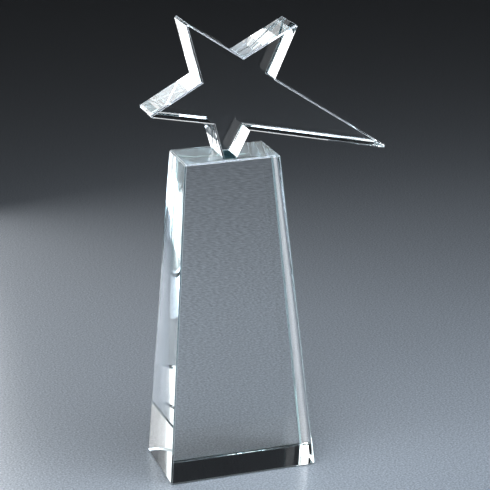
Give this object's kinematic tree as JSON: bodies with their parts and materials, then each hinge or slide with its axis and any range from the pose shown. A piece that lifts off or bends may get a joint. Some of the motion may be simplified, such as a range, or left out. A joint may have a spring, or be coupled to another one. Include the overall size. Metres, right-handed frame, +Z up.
{
  "type": "star trophy",
  "caption": "Free-standing clear crystal award: a tapered rectangular block with a thick star, one of its points drawn out long, bonded upright on top.",
  "frame": {"origin": "centre of the base's underside, on the surface that the trophy stands on", "axes": "+X towards the star's long point, -Y out of the front face, +Z up"},
  "size_m": [0.1318, 0.05, 0.2547],
  "materials": {
    "crystal": "optically polished, colourless",
    "adhesive": "cured clear, matched to the crystal"
  },
  "bodies": {
    "root": {"base": "crystal", "star": "crystal", "bond_film": "adhesive"}
  },
  "joints": []
}
